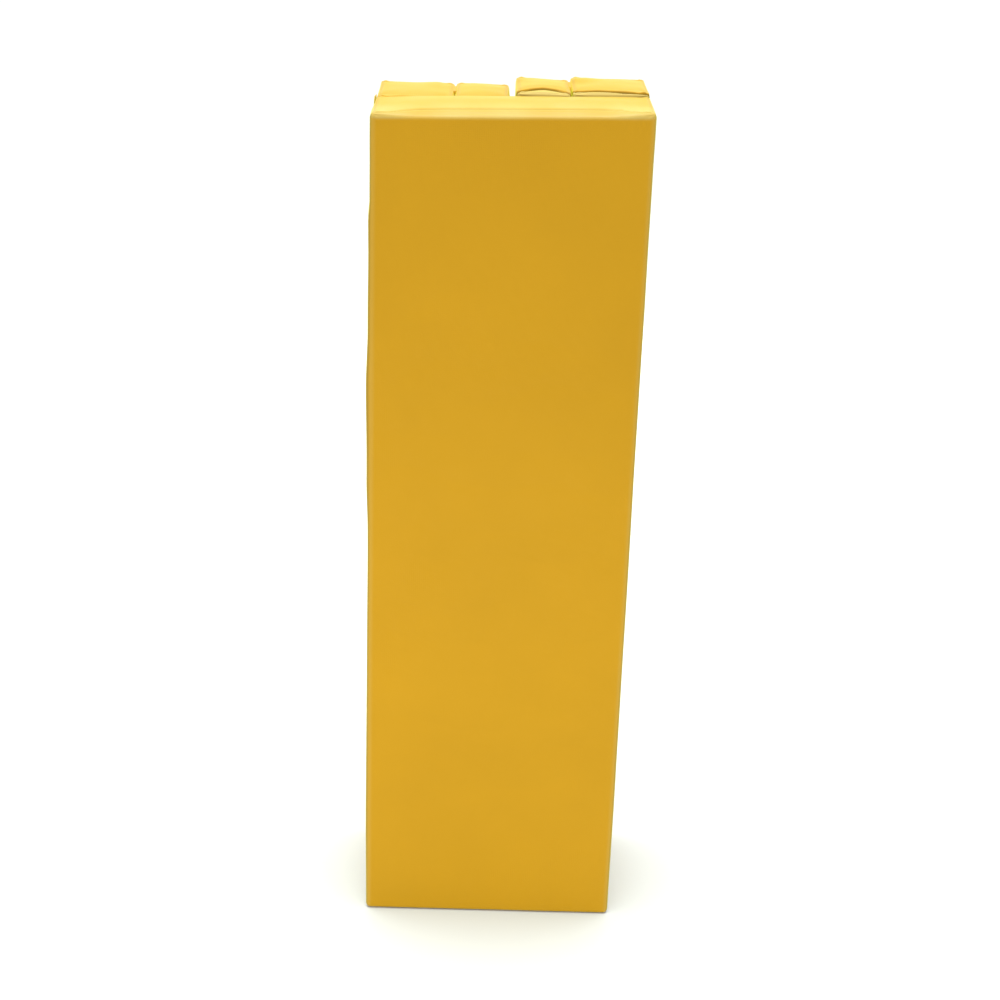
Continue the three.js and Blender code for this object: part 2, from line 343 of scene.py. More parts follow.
def cover_surface(cover, points, places, size, cloth_moves):
    """The cover's final points: rounded box, cloth, crown, humps, ripples and seams."""
    radii = cover["radii"](points, size)
    base, normals = round_box(points, size, radii)
    shares = face_shares(normals)
    slack = sum(cover["slack"][n] * share for n, share in shares.items())
    calm = calmness(places, cover["zones"])
    length = np.linalg.norm(cloth_moves, axis=1)
    limited = np.tanh(length / np.maximum(slack, 1e-6)) * slack / np.maximum(length, 1e-9)
    free = calm * looseness(points, size)
    moved = base + cloth_moves * (limited * free)[:, None]

    rise = np.zeros(len(points))
    for name, (axis, _) in FACES.items():
        rise += cover["crown"][name] * shares[name] * crown_profile(points, size, axis)
    rise += RIPPLE_DEPTH * ripples(places) * (1 - shares["bottom"])
    rise = rise * calm + cover["details"](points, size, shares)
    rise -= END_SEAM_DEPTH * end_seams(points, size, radii)
    rise -= SIDE_SEAM_DEPTH * side_seams(points, size, radii)
    return moved + normals * rise[:, None]


def from_upright_edge(points, size):
    """The distance from each point to the nearest of the four upright edges."""
    return np.linalg.norm(np.minimum(points, size - points)[:, :2], axis=1)


def looseness(points, size):
    """0 along the taut upright edges below the top, 1 on the walls and near the top."""
    near_top = smoothstep(points[:, 2], size[2] - 70 * MM, size[2] - 20 * MM)
    loose = smoothstep(from_upright_edge(points, size), 4 * MM, 45 * MM)
    return np.maximum(loose, near_top)


def seam_profile(points, size, radii, across, place, width):
    """1 along the seam round the two faces across this axis, falling to 0 beside it.

    The seam lies in from the face's edges by this share of the edge radius.
    """
    others = [axis for axis in range(3) if axis != across]
    inward = (np.minimum(points, size - points) - place * radii)[:, others].min(axis=1)
    on_face = np.minimum(points, size - points)[:, across] < 1e-6
    return np.exp(-((inward / width) ** 2)) * on_face


def end_seams(points, size, radii):
    return seam_profile(points, size, radii, 2, END_SEAM_PLACE, END_SEAM_WIDTH)


def side_seams(points, size, radii):
    return seam_profile(points, size, radii, 0, SIDE_SEAM_PLACE, SIDE_SEAM_WIDTH)


def corner_puckers(points, size):
    """Small folds that fan out from the corners of the top."""
    folds = np.zeros(len(points))
    for x_end, y_end in ((0, 0), (1, 0), (0, 1), (1, 1)):
        corner = np.array([size[0] * x_end, size[1] * y_end, size[2]])
        away = np.abs(points - corner)
        distance = np.linalg.norm(away, axis=1)
        angle = np.arctan2(away[:, 2] + away[:, 1], away[:, 0])
        rise = smoothstep(distance, 1 * MM, 6 * MM)
        folds += np.cos(9 * angle) * rise * np.exp(-((distance / PUCKER_REACH) ** 2))
    return folds * PUCKER_DEPTH


SEAM_ROW_STEP = 0.7 * MM  # the grid around a seam that lies back from a cap's edge
SEAM_COLUMN_STEP = 2.2 * MM
PAINTED_HIGHLIGHT = "painted_highlight"  # the mesh attribute that says how much painted highlight each point gets
PAINTED_SHADE = "crease"  # the one that says how much painted shade each point in a seam gets


def paint(piece, attribute, values):
    data = piece.data.attributes.new(attribute, "FLOAT", "POINT").data
    data.foreach_set("value", values.astype(np.float32))


def add_cover(name, body, cover, material):
    """The visible cover of one panel. It stands for the sleeve and both caps."""
    nodes = [f"{name}_sleeve", f"{name}_top_cap", f"{name}_bottom_cap"]
    boxes = [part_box(node) for node in nodes]
    low = np.min([b[0] for b in boxes], axis=0) - (cover["reach"][0], 0, 0)
    high = np.max([b[1] for b in boxes], axis=0) + (cover["reach"][1], 0, 0)
    size = high - low
    lines = [edge_lines(s, FINE_STEP, FINE_GROWTH, COARSE_STEP) for s in size]
    if cover["fine_front"]:
        lines[0] = edge_lines(size[0], FINE_STEP, FINE_GROWTH, SEAM_COLUMN_STEP)
        behind = lines[1][lines[1] > cover["fine_front"]]
        lines[1] = np.concatenate([np.arange(0, cover["fine_front"], SEAM_ROW_STEP), behind])
    points, cells, quads = shell_grid(lines)
    moves = np.zeros_like(points)
    rough = [edge_lines(s, CLOTH_EDGE_STEP, 1.3, CLOTH_STEP) for s in size]
    rough_points, rough_cells, rough_quads = shell_grid(rough)
    start, _ = round_box(rough_points, size, cover["radii"](rough_points, size))
    rough_moves = inflate(start, rough_quads)
    moves = carry_over(rough_moves, rough_cells, rough, cells, lines)
    surface = cover_surface(cover, points, points + low, size, moves)
    side_share = points[:, 0] / size[0]
    stand = cover["stand"][0] * (1 - side_share) + cover["stand"][1] * side_share
    surface[:, 2] += stand * np.clip(points[:, 2] / size[2], 0, 1)
    room = np.array([[cover["room"][a], cover["room"][b]] for a, b in FACE_PAIRS])
    surface = np.clip(surface, -room[:, 0], size + room[:, 1]) + low
    piece = add_piece(f"{name}_cover", surface, quads, material)
    # Painted highlight over the front roll, in front of the caps' front seams and down the upright
    # edges.
    highlight, crease = cover["marks"](points, size)
    near_edge = 1 - smoothstep(from_upright_edge(points, size), 2 * MM, 8 * MM)
    paint(piece, PAINTED_HIGHLIGHT, np.maximum(highlight, EDGE_HIGHLIGHT * near_edge))
    radii = cover["radii"](points, size)
    # Painted shade in the caps' front seams, round the end caps and along the side wall seams.
    crease = np.maximum(crease, END_SEAM_SHADE * end_seams(points, size, radii))
    paint(piece, PAINTED_SHADE, np.maximum(crease, SIDE_SEAM_SHADE * side_seams(points, size, radii)))
    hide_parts(*nodes)
    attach(piece, body)
    return piece


# ---- Materials ----

COVER_COLOUR = (0.366, 0.188, 0.005)
HIGHLIGHT_COLOUR = (0.38, 0.27, 0.072)  # painted highlight over the front roll, the caps' front lenses and the upright edges
SHADE_COLOUR = (0.11, 0.06, 0.003)  # painted shade down in a seam
SCRIM_PITCH = 2.8 * MM
SHEEN_TINT = (1.0, 1.0, 0.07, 1.0)  # the coating looks paler at a slant


class Shader:
    """A Principled material and short ways to feed its sockets."""

    def __init__(self, name, roughness, metallic=0.0, specular=0.5, sheen=0.0):
        self.material = bpy.data.materials.new(name)
        self.material.use_nodes = True
        self.tree = self.material.node_tree
        self.surface = self.tree.nodes["Principled BSDF"]
        self.surface.inputs["Roughness"].default_value = roughness
        self.surface.inputs["Metallic"].default_value = metallic
        self.surface.inputs["Specular IOR Level"].default_value = specular
        self.surface.inputs["Sheen Weight"].default_value = sheen
        self.surface.inputs["Sheen Roughness"].default_value = 0.45
        self.surface.inputs["Sheen Tint"].default_value = SHEEN_TINT
        place = self.tree.nodes.new("ShaderNodeTexCoord")
        self.place = place.outputs["Object"]
        self.normal = None

    def join(self, source, target):
        self.tree.links.new(source, target)

    def noise(self, scale, detail=2.0, roughness=0.5):
        node = self.tree.nodes.new("ShaderNodeTexNoise")
        node.inputs["Scale"].default_value = scale
        node.inputs["Detail"].default_value = detail
        node.inputs["Roughness"].default_value = roughness
        self.join(self.place, node.inputs["Vector"])
        return node.outputs["Fac"]

    def math(self, operation, first, second=0.0):
        node = self.tree.nodes.new("ShaderNodeMath")
        node.operation = operation
        for socket, value in zip(node.inputs, (first, second)):
            if isinstance(value, (int, float)):
                socket.default_value = value
            else:
                self.join(value, socket)
        return node.outputs[0]

    def map_range(self, value, low, high, to_low, to_high):
        node = self.tree.nodes.new("ShaderNodeMapRange")
        ends = {"From Min": low, "From Max": high, "To Min": to_low, "To Max": to_high}
        for name, number in ends.items():
            node.inputs[name].default_value = number
        self.join(value, node.inputs["Value"])
        return node.outputs["Result"]

    def weave(self, pitches, diagonal=0.0):
        """The sum of one sine wave along each of X, Y and Z, each with its own pitch."""
        parts = self.tree.nodes.new("ShaderNodeSeparateXYZ")
        self.join(self.place, parts.inputs[0])
        total = 0.0
        for axis, pitch in enumerate(pitches):
            along = parts.outputs[axis]
            if diagonal and axis < 2:
                along = self.math("ADD", along, self.math("MULTIPLY", parts.outputs[2], diagonal))
            wave = self.math("SINE", self.math("MULTIPLY", along, 2 * math.pi / pitch))
            total = self.math("ADD", wave, total)
        return total

    def colours(self, value, low, high, first, second):
        """Base colour that runs from first to second as value goes from low to high."""
        ramp = self.tree.nodes.new("ShaderNodeValToRGB")
        ramp.color_ramp.elements[0].position = low
        ramp.color_ramp.elements[0].color = (*first, 1)
        ramp.color_ramp.elements[1].position = high
        ramp.color_ramp.elements[1].color = (*second, 1)
        self.join(value, ramp.inputs["Fac"])
        self.join(ramp.outputs["Color"], self.surface.inputs["Base Color"])

    def blend_to(self, colour, attribute):
        """Blends the base colour towards another one where a mesh attribute says so."""
        share = self.tree.nodes.new("ShaderNodeAttribute")
        share.attribute_name = attribute
        mix = self.tree.nodes.new("ShaderNodeMix")
        mix.data_type = "RGBA"
        base = self.surface.inputs["Base Color"]
        self.join(share.outputs["Fac"], mix.inputs["Factor"])
        self.join(base.links[0].from_socket, mix.inputs["A"])
        mix.inputs["B"].default_value = (*colour, 1)
        self.join(mix.outputs["Result"], base)

    def vary_roughness(self, scale, detail, low, high):
        value = self.map_range(self.noise(scale, detail), 0.3, 0.7, low, high)
        self.join(value, self.surface.inputs["Roughness"])

    def bump(self, height, depth):
        """Adds a relief of this depth, in metres, on top of those added before."""
        node = self.tree.nodes.new("ShaderNodeBump")
        node.inputs["Distance"].default_value = depth
        self.join(height, node.inputs["Height"])
        if self.normal is not None:
            self.join(self.normal, node.inputs["Normal"])
        self.normal = node.outputs["Normal"]
        self.join(self.normal, self.surface.inputs["Normal"])


def tinted(colour, amount):
    return tuple(min(channel * amount, 1) for channel in colour)


def coated_fabric():
    """Smooth PVC-coated cloth whose scrim shows faintly in patches."""
    shader = Shader("coated_fabric", roughness=0.38, specular=0.11, sheen=0.42)
    shades = (tinted(COVER_COLOUR, 0.97), tinted(COVER_COLOUR, 1.03))
    shader.colours(shader.noise(5, 3), 0.3, 0.7, *shades)
    # Painted highlight where the roll, the lenses and the upright edges catch the light.
    shader.blend_to(HIGHLIGHT_COLOUR, PAINTED_HIGHLIGHT)
    # Painted shade down in the seams.
    shader.blend_to(SHADE_COLOUR, PAINTED_SHADE)
    shader.vary_roughness(9, 4, 0.34, 0.43)
    patches = shader.map_range(shader.noise(4, 1), 0.42, 0.62, 0.15, 1.0)
    scrim = shader.weave((SCRIM_PITCH, SCRIM_PITCH, SCRIM_PITCH))
    shader.bump(shader.math("MULTIPLY", scrim, patches), 0.025 * MM)
    shader.bump(shader.noise(60, 3), 0.12 * MM)
    shader.bump(shader.noise(900, 2), 0.03 * MM)
    return shader.material


def mottled(name, roughness, specular, mottle, shades, reliefs, metallic=0.0):
    """A shader whose colour runs between two shades over noise, with reliefs on top.

    mottle is the noise's scale and detail and the share of it below the first shade. Each
    relief is "noise" or "weave", the values for it, and its depth.
    """
    shader = Shader(name, roughness, metallic, specular)
    scale, detail, low = mottle
    shader.colours(shader.noise(scale, detail), low, 1 - low, *shades)
    for kind, values, depth in reliefs:
        shader.bump(getattr(shader, kind)(*values), depth)
    return shader


def woven(name, colour, pitch, depth):
    """Webbing or tape: coarse ribs with a finer cross weave."""
    shades = (tinted(colour, 0.93), tinted(colour, 1.07))
    ribs = ("weave", ((pitch, pitch, pitch * 0.62), 0.5), depth)
    fibres = ("noise", (1600, 2), depth * 0.5)
    return mottled(name, 0.8, 0.3, (350, 3, 0.3), shades, (ribs, fibres)).material


def napped(name, colour):
    """Hook and loop tape: a dense nap of fine loops."""
    shades = (tinted(colour, 0.7), tinted(colour, 1.2))
    nap = ("noise", (1300, 3), 0.5 * MM)
    return mottled(name, 0.95, 0.2, (900, 2, 0.35), shades, (nap,)).material


def plated_metal():
    shades = ((0.4, 0.4, 0.41), (0.5, 0.5, 0.51))
    cast = ("noise", (1500, 2), 0.01 * MM)
    shader = mottled("nickel_plate", 0.28, 0.5, (120, 3, 0.3), shades, (cast,), metallic=1.0)
    shader.vary_roughness(500, 3, 0.2, 0.36)
    return shader.material


def moulded_teeth():
    shades = ((0.27, 0.13, 0.004), (0.32, 0.16, 0.006))
    grain = ("noise", (1200, 2), 0.02 * MM)
    return mottled("moulded_teeth", 0.4, 0.5, (300, 2, 0.3), shades, (grain,)).material


def thread():
    shades = ((0.37, 0.2, 0.008), (0.46, 0.26, 0.012))
    twist = ("weave", ((0.5 * MM,) * 3, 1.0), 0.05 * MM)
    return mottled("thread", 0.75, 0.3, (800, 2, 0.3), shades, (twist,)).material


def soft_foam():
    shades = ((0.7, 0.64, 0.48), (0.85, 0.8, 0.65))
    cells = ("noise", (1100, 3), 0.4 * MM)
    return mottled("open_cell_foam", 0.95, 0.2, (700, 3, 0.35), shades, (cells,)).material


def vent_screen():
    shades = ((0.012, 0.012, 0.011), (0.03, 0.028, 0.025))
    mesh = ("weave", ((0.9 * MM,) * 3,), 0.2 * MM)
    return mottled("vent_screen", 0.7, 0.3, (500, 2, 0.3), shades, (mesh,)).material


COATED = coated_fabric()
WEBBING = woven("webbing", (0.4, 0.2, 0.005), 2.2 * MM, 0.12 * MM)
ZIP_TAPE = woven("zip_tape", (0.32, 0.16, 0.005), 0.9 * MM, 0.05 * MM)
NAP = napped("hook_and_loop", (0.34, 0.175, 0.008))
METAL = plated_metal()
TEETH = moulded_teeth()
THREAD = thread()
FOAM = soft_foam()
SCREEN = vent_screen()

# ---- Stage ----

FLOOR_SIZE = 60
FLOOR_SHADE = 0.51
OVERHEAD_TINT = (0.9, 1.0, 0.9)
OVERHEAD_POWER = 3.6
OVERHEAD_SPREAD = math.radians(35)
OVERHEAD_TILT = (math.radians(2), math.radians(-2), 0)


def add_softbox(name, place, target, size, power, glossy=True):
    """A rectangular light that no camera sees."""
    light = bpy.data.lights.new(name, "AREA")
    light.shape = "RECTANGLE"
    light.size, light.size_y = size
    light.energy = power
    lamp = bpy.data.objects.new(name, light)
    lamp.location = place
    lamp.rotation_euler = (Vector(target) - Vector(place)).to_track_quat("-Z", "Y").to_euler()
    lamp.visible_camera = False
    lamp.visible_glossy = glossy
    bpy.context.scene.collection.objects.link(lamp)


def add_stage():
    shader = Shader("pale_floor", roughness=0.9, specular=0.1)
    shades = (FLOOR_SHADE * 0.995, FLOOR_SHADE * 1.005)
    shader.colours(shader.noise(2, 2), 0.3, 0.7, (shades[0],) * 3, (shades[1],) * 3)
    half = FLOOR_SIZE / 2
    corners = [(-half, -half, 0), (half, -half, 0), (half, half, 0), (-half, half, 0)]
    add_piece("floor", corners, [(0, 1, 2, 3)], shader.material)

    world = bpy.data.worlds.new("studio")
    world.use_nodes = True
    world.node_tree.nodes["Background"].inputs["Color"].default_value = (1, 1, 1, 1)
    world.node_tree.nodes["Background"].inputs["Strength"].default_value = 1.0
    bpy.context.scene.world = world

    sun = bpy.data.lights.new("overhead", "SUN")
    sun.energy = OVERHEAD_POWER
    sun.color = OVERHEAD_TINT
    sun.angle = OVERHEAD_SPREAD
    lamp = bpy.data.objects.new("overhead", sun)
    lamp.rotation_euler = OVERHEAD_TILT
    bpy.context.scene.collection.objects.link(lamp)
    add_softbox("high_softbox", (0, 0.3, 4.4), (0, 0, 1.2), (3.0, 0.8), 90)
    add_softbox("back_softbox", (0, 3.6, 2.6), (0, 0, 1.2), (6, 3.2), 30)
    add_softbox("rear_fill", (0, 2.8, 1.0), (0, 0.1, 0.6), (2.0, 1.5), 20, False)
    add_softbox("low_fill", (-0.2, -1.7, 0.25), (0, -0.12, 0.5), (1.6, 0.5), 20, False)
    bpy.context.scene.view_settings.view_transform = "Standard"


add_stage()

# ---- Panels ----

PANELS = ("main", "left_outer", "left_inner", "right_outer", "right_inner")


def body_of_panel(name):
    return "main_panel" if name == "main" else f"{name}_block"


def even_radii(points, size):
    return np.full((len(points), 3), EDGE_RADIUS)


ROLL_DEPTH = 14 * MM  # how much wider the main panel's front top edge is rolled
ROLL_DROP = 2 * MM
ROLL_HIGHLIGHT = 0.95  # strength of the painted highlight over that roll


def on_cap(points, size):
    """1 on the top cap, falling to 0 down its rounded edge."""
    return smoothstep(points[:, 2], size[2] - 9 * MM, size[2] - 5 * MM)


def rolled_radii(points, size):
    """The main panel's front top edge is a soft roll between its two sharper corners."""
    from_end = np.minimum(points[:, 0], size[0] - points[:, 0])
    roll = smoothstep(from_end, 0, 70 * MM)
    roll = roll * smoothstep(points[:, 2], size[2] - 70 * MM, size[2] - 30 * MM)
    roll = roll * (1 - smoothstep(points[:, 1], 0.35 * size[1], 0.6 * size[1]))
    radii = even_radii(points, size)
    radii[:, 1] += ROLL_DEPTH * roll
    radii[:, 2] += ROLL_DROP * roll
    return radii


def roll_marks(points, size):
    """(painted highlight, painted shade): a painted highlight over the slab's front top edge."""
    from_front = points[:, 1] + (size[2] - points[:, 2])
    highlight = on_cap(points, size) * (1 - smoothstep(from_front, 20 * MM, 60 * MM))
    wave = 0.8 + 0.2 * np.sin(points[:, 0] / (41 * MM)) * np.sin(points[:, 0] / (17 * MM) + 1)
    return ROLL_HIGHLIGHT * highlight * wave, np.zeros(len(points))


GATHER_PITCH = 3.8 * MM  # of the small gathers at the right end of the slab's front roll
GATHER_DEPTH = 0.6 * MM
# How far the front part of the slab's side walls stands out, by height above the floor.
LEFT_SWELL_HEIGHTS = (0.05, 0.18, 0.34, 0.62, 0.7, 0.83, 0.91, 1.0, 1.06, 1.085)
LEFT_SWELL = np.array((1.9, 3.0, 2.3, 2.1, 3.9, 5.4, 3.1, 2.7, 3.3, 1.6)) * MM
RIGHT_SWELL_HEIGHTS = (0.1, 1.1)
RIGHT_SWELL = np.array((1.5, 0.7)) * MM


def swell(heights, at, amounts):
    """The amount at each height, easing from one of the given heights to the next."""
    places = np.interp(heights, at, np.arange(len(at)))
    steps = np.floor(places)
    eased = steps + smoothstep(places - steps, 0, 1)
    return np.interp(eased, np.arange(len(at)), amounts)


def main_details(points, size, shares):
    """Puckers at the top corners, fine gathers at the front roll's right end, wall swells."""
    folds = corner_puckers(points, size)
    from_right = size[0] - points[:, 0]
    place = smoothstep(from_right, 8 * MM, 20 * MM)
    place = place * (1 - smoothstep(from_right, 45 * MM, 70 * MM))
    place = place * smoothstep(points[:, 2], size[2] - 40 * MM, size[2] - 10 * MM)
    place = place * (1 - smoothstep(points[:, 1], 30 * MM, 55 * MM))
    folds += GATHER_DEPTH * place * np.sin(2 * math.pi * points[:, 0] / GATHER_PITCH)
    left = swell(points[:, 2], LEFT_SWELL_HEIGHTS, LEFT_SWELL) * shares["left"]
    right = swell(points[:, 2], RIGHT_SWELL_HEIGHTS, RIGHT_SWELL) * shares["right"]
    return folds + (left + right) * (1 - smoothstep(points[:, 1], 40 * MM, 75 * MM))


FOLD_HALF = 1.3 * MM  # half the width of the step at a cap's front seam
FOLD_LIFT_REACH = 45 * MM
FOLD_VALLEY = 3.0 * MM


def behind_seam(points, size, places):
    """How far back from a cap's front seam each point is."""
    return points[:, 1] - np.interp(points[:, 0] / size[0], np.linspace(0, 1, len(places)), places)


def front_fold(points, size, places, drop, lift):
    """The valley and step where a cap's front seam lies back from the edge.

    The cloth is lower in front of the seam by drop, and raised behind it by up to lift.
    """
    behind = behind_seam(points, size, places)
    step = smoothstep(behind, -FOLD_HALF, FOLD_HALF)
    raised = lift * np.exp(-((np.maximum(behind, 0) / FOLD_LIFT_REACH) ** 2))
    valley = FOLD_VALLEY * np.exp(-((behind / FOLD_HALF) ** 2))
    return raised - drop * (1 - step) - valley


def block_marks(points, size, fold):
    """(painted highlight, painted shade): a painted highlight on a cap in front of its front seam,
    and painted shade down in that seam's crease.
    """
    if not fold:
        return np.zeros(len(points)), np.zeros(len(points))
    behind = behind_seam(points, size, fold[0])
    share = on_cap(points, size)
    highlight = 1 - smoothstep(behind, -FOLD_HALF, FOLD_HALF)
    return highlight * share, np.exp(-((behind / FOLD_HALF) ** 2)) * share


def block_details(points, size, shares, humps, fold):
    """Puckers at a block's top corners, low humps on its top and its front fold."""
    folds = corner_puckers(points, size)
    if fold:
        folds += front_fold(points, size, *fold) * shares["top"]
    for across, along, height, reach in humps:
        away = np.linalg.norm(points[:, :2] - size[:2] * (across, along), axis=1)
        folds += height * np.exp(-((away / reach) ** 2)) * shares["top"]
    return folds


def zones_on(name):
    nodes = [f"{name}_zip_chain", f"{name}_eyelet"]
    side = name.split("_")[0]
    if name.endswith("inner"):
        nodes += [f"{side}_handle_upper_patch", f"{side}_handle_lower_patch"]
        nodes += [f"{side}_loop_strip"]
    if name == "main":
        nodes += ["left_hook_strip", "right_hook_strip"]
    return [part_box(node) for node in nodes]


def face_values(**values):
    return {name: values.get(name, 0.0) * MM for name in FACES}


def mirrored(values, name):
    """Blocks are described as on the right side; left and right trade places on the left."""
    if name.startswith("left"):
        values = {**values, "left": values["right"], "right": values["left"]}
    return values


CHANNEL_REACH = 2.2 * MM  # how far the blocks' soft sides reach into the channel


def add_covers():
    add_cover(
        "main",
        "main_panel",
        {
            "radii": rolled_radii,
            "crown": face_values(left=1.5, right=1.5, front=2.5, back=0.3, top=4.5),
            "slack": face_values(left=0.6, right=0.6, front=0.35, back=0.3, top=1.6),
            "room": face_values(left=5.6, right=3.5, front=6, back=0.9, top=9),
            "zones": zones_on("main"),
            "details": main_details,
            "marks": roll_marks,
            "reach": (0, 0),
            "stand": (-5 * MM, 5 * MM),
            "fine_front": 0,
        },
        COATED,
    )
    blocks = {
        "outer": {
            "crown": face_values(left=0, right=1.5, front=0.3, back=1.5, top=3),
            "slack": face_values(left=0.3, right=0.6, front=0.3, back=0.8, top=1.6),
            "room": face_values(left=0, right=3.0, front=0.9, back=4, top=14),
        },
        "inner": {
            "crown": face_values(left=0.6, right=0, front=0.3, back=1.0, top=3),
            "slack": face_values(left=0.4, right=0.3, front=0.3, back=0.6, top=1.6),
            "room": face_values(left=1.2, right=0, front=0.9, back=3, top=14),
        },
    }
    humps = {
        "left_outer": ((0.8, 0.9, 2.5 * MM, 22 * MM), (0.05, 0.9, 1.5 * MM, 20 * MM)),
        "left_inner": ((0.2, 0.9, 1.0 * MM, 15 * MM),),
        "right_inner": ((0.1, 0.9, 2.5 * MM, 20 * MM),),
        "right_outer": ((0.1, 0.85, 4.0 * MM, 20 * MM),),
    }
    folds = {  # (places of the seam back from the front edge, drop, lift)
        "right_inner": (np.array((5, 16, 19, 16, 5)) * MM, 2.2 * MM, 3.0 * MM),
        "right_outer": (np.array((15, 12, 9, 6, 3)) * MM, 1.6 * MM, 2.0 * MM),
    }
    stands = {  # how much higher each block stands, at its left and its right
        "left_outer": (-6.5 * MM, -7.8 * MM),
        "left_inner": (-6.2 * MM, -6.0 * MM),
        "right_inner": (3.0 * MM, 3.0 * MM),
        "right_outer": (4.5 * MM, 6.5 * MM),
    }
    for name in PANELS[1:]:
        side, kind = name.split("_")
        cover = {key: mirrored(values, name) for key, values in blocks[kind].items()}
        channel_is_low = (kind == "outer") == (side == "right")
        cover["reach"] = (CHANNEL_REACH, 0) if channel_is_low else (0, CHANNEL_REACH)
        cover["radii"] = even_radii
        cover["zones"] = zones_on(name)
        fold = folds.get(name)
        cover["details"] = partial(block_details, humps=humps[name], fold=fold)
        cover["marks"] = partial(block_marks, fold=fold)
        cover["fine_front"] = 22 * MM if fold else 0
        cover["stand"] = stands[name]
        piece = add_cover(name, body_of_panel(name), cover, COATED)
        if kind == "inner":
            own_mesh(piece)


add_covers()

# ---- Shapes of the fittings ----
#
# A fitting is drawn as (out, across, up) lengths from its middle on a wall: out of the
# wall, along it, and towards the top. A part is (points, faces).

UP = Vector((0, 0, 1))


def wall_frame(panel, node, facing):
    """The matrix from (out, across, up) to places, for a node on one wall of a panel."""
    axis, sign = FACES[facing]
    low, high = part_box(node)
    origin = [(a + b) / 2 for a, b in zip(low, high)]
    origin[axis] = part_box(f"{panel}_sleeve")[(sign + 1) // 2][axis]
    out = Vector((0, 0, 0))
    out[axis] = sign
    turn = Matrix((out, UP.cross(out), UP)).transposed()
    return Matrix.Translation(origin) @ turn.to_4x4()


def box_corners(node):
    return [np.array(corner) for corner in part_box(node)]


def box_size(node):
    low, high = box_corners(node)
    return high - low


def merge(parts):
    points = []
    faces = []
    start = 0
    for part_points, part_faces in parts:
        points.append(np.asarray(part_points, float))
        faces += [tuple(int(i) + start for i in face) for face in part_faces]
        start += len(part_points)
    return np.concatenate(points), faces


def loft(rings, wrap=False):
    """A body through rings of points, closed by its first and last ring or round on itself."""
    rings = np.asarray(rings, float)
    count, around, _ = rings.shape
    ids = np.arange(count * around).reshape(count, around)
    here = ids if wrap else ids[:-1]
    there = np.roll(ids, -1, axis=0) if wrap else ids[1:]
    sides = (here, np.roll(here, -1, axis=1), np.roll(there, -1, axis=1), there)
    faces = np.stack(sides, -1).reshape(-1, 4).tolist()
    if not wrap:
        faces += [ids[0][::-1].tolist(), ids[-1].tolist()]
    return rings.reshape(-1, 3), faces


def ring_at(out, outline):
    """An (across, up) outline as a ring this far out from the wall."""
    return np.column_stack([np.full(len(outline), out), outline])


def raised(parts, up):
    """The parts, moved up the wall."""
    return [(points + (0, 0, up), faces) for points, faces in parts]


def rounded_outline(width, height, radius, steps=4):
    """Points round a rectangle with round corners, centred on 0."""
    points = []
    for corner, (x_sign, y_sign) in enumerate(((1, 1), (-1, 1), (-1, -1), (1, -1))):
        for step in range(steps + 1):
            angle = math.pi / 2 * (corner + step / steps)
            x = x_sign * (width / 2 - radius) + radius * math.cos(angle)
            y = y_sign * (height / 2 - radius) + radius * math.sin(angle)
            points.append((x, y))
    return np.array(points)


def stacked(width, height, radius, levels, middle=(0, 0)):
    """A plate on a wall, through rounded outlines at (out, inset) levels."""
    rings = []
    for out, inset in levels:
        corner = max(radius - inset, 0.1 * MM)
        outline = rounded_outline(width - 2 * inset, height - 2 * inset, corner) + middle
        rings.append(ring_at(out, outline))
    return loft(rings)


def soft_plate(width, height, radius, thickness, rise=0.0):
    """A sewn-on patch: thin, with rounded edges and a slightly higher middle."""
    levels = (
        (rise, 0.2 * MM),
        (rise + 0.25 * thickness, 0),
        (rise + 0.65 * thickness, 0),
        (rise + 0.9 * thickness, 0.4 * MM),
        (rise + thickness, 2.5 * MM),
    )
    return stacked(width, height, radius, levels)


def frame_round(width, height, radius, band, thickness):
    """A flat band with rounded edges that runs round a rectangle, inside its outline."""
    rings = []
    section = ((0, -0.2 * MM), (0, 0.6 * thickness), (0.1, thickness), (0.85, thickness))
    section += ((1, 0.6 * thickness), (1, -0.2 * MM))
    outer = rounded_outline(width, height, radius)
    inner = rounded_outline(width - 2 * band, height - 2 * band, max(radius - band, 0.1 * MM))
    for far, near in zip(outer, inner):
        rings.append([(out, *(far + (near - far) * share)) for share, out in section])
    return loft(rings, wrap=True)


STITCH_LENGTH = 3.4 * MM
STITCH_GAP = 1.2 * MM
STITCH_RADIUS = 0.32 * MM


def stitches(path, out, gap=STITCH_GAP):
    """Short arched stitches along a path of (across, up) points, on a surface this far out."""
    parts = []
    for start, end in zip(path[:-1], path[1:]):
        start, end = np.array(start, float), np.array(end, float)
        run = np.linalg.norm(end - start)
        if run < STITCH_LENGTH:
            continue
        ahead = (end - start) / run
        aside = np.array((-ahead[1], ahead[0]))
        count = max(1, round(run / (STITCH_LENGTH + gap)))
        for number in range(count):
            middle = start + (end - start) * (number + 0.5) / count
            rings = []
            for along, lift, size in ((-0.5, -0.15, 0.6), (0, 0.2, 1), (0.5, -0.15, 0.6)):
                centre = middle + ahead * along * STITCH_LENGTH
                height = out + lift * STITCH_RADIUS * 2
                reach = STITCH_RADIUS * size
                left, right = centre + aside * reach, centre - aside * reach
                ring = ((height + reach, *centre), (height, *left))
                rings.append(ring + ((height - reach, *centre), (height, *right)))
            parts.append(loft(rings))
    return parts


def rectangle_path(width, height):
    x, y = width / 2, height / 2
    return [(-x, -y), (x, -y), (x, y), (-x, y), (-x, -y)]


